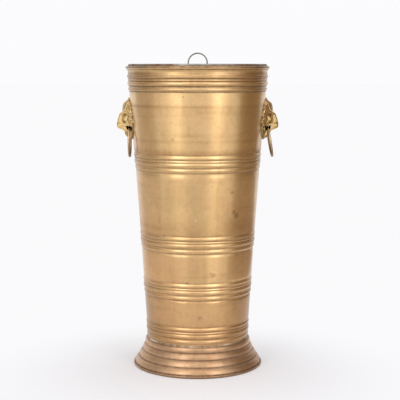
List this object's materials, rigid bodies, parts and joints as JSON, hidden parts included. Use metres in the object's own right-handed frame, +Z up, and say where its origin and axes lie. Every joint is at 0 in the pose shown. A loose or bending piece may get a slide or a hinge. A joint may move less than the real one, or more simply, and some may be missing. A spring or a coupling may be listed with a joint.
{
  "type": "umbrella stand",
  "caption": "Tapered brass umbrella stand with swaged bead bands, a spun stepped foot, cast lion masks with swinging rings, and a lift-out galvanised liner with a wire lifting loop.",
  "frame": {"origin": "on the floor, on the axis of the stand", "axes": "+Z up along the axis of the stand, -Y towards the viewer of the picture, the lion masks look out along -X and +X"},
  "size_m": [0.268, 0.2369, 0.522],
  "materials": {
    "body_brass": "satin, aged",
    "foot_brass": "satin, tarnished",
    "plate_brass": "dull, tarnished",
    "mask_brass": "polished casting with dark hollows",
    "ring_brass": "satin, handled",
    "solder": "rough, wiped",
    "core_wire": "dull iron wire",
    "screw_steel": "dull",
    "liner_steel": "galvanised, dulled",
    "clip_steel": "galvanised",
    "loop_wire": "galvanised wire"
  },
  "bodies": {
    "stand": {"body_shell": "body_brass", "rim_wire": "core_wire", "foot_skirt": "foot_brass", "foot_wire": "core_wire", "neck_solder": "solder", "base_plate": "plate_brass", "left_lion_mask": "mask_brass", "left_mask_screws": "screw_steel", "left_mask_washers": "screw_steel", "right_lion_mask": "mask_brass", "right_mask_screws": "screw_steel", "right_mask_washers": "screw_steel"},
    "left_ring": {"left_ring": "ring_brass"},
    "right_ring": {"right_ring": "ring_brass"},
    "liner": {"liner_shell": "liner_steel", "liner_rim_wire": "core_wire", "liner_bottom": "liner_steel", "loop_clip": "clip_steel", "clip_rivets": "clip_steel"},
    "lift_loop": {"lift_loop": "loop_wire"}
  },
  "joints": [
    {"name": "left_ring_swing", "type": "hinge", "parent": "stand", "child": "left_ring", "pos_m": [-0.11262, 0, 0.3982], "axis": [0, 1, 0], "range_deg": [-4, 90]},
    {"name": "right_ring_swing", "type": "hinge", "parent": "stand", "child": "right_ring", "pos_m": [0.11572, 0, 0.3982], "axis": [0, -1, 0], "range_deg": [-18.5, 80.5]},
    {"name": "liner_lift", "type": "slide", "parent": "stand", "child": "liner", "axis": [0, 0, 1], "range_m": [0, 0.45]},
    {"name": "loop_fold", "type": "hinge", "parent": "liner", "child": "lift_loop", "pos_m": [0, 0.10574, 0.488], "axis": [1, 0, 0], "range_deg": [0, 176]}
  ]
}
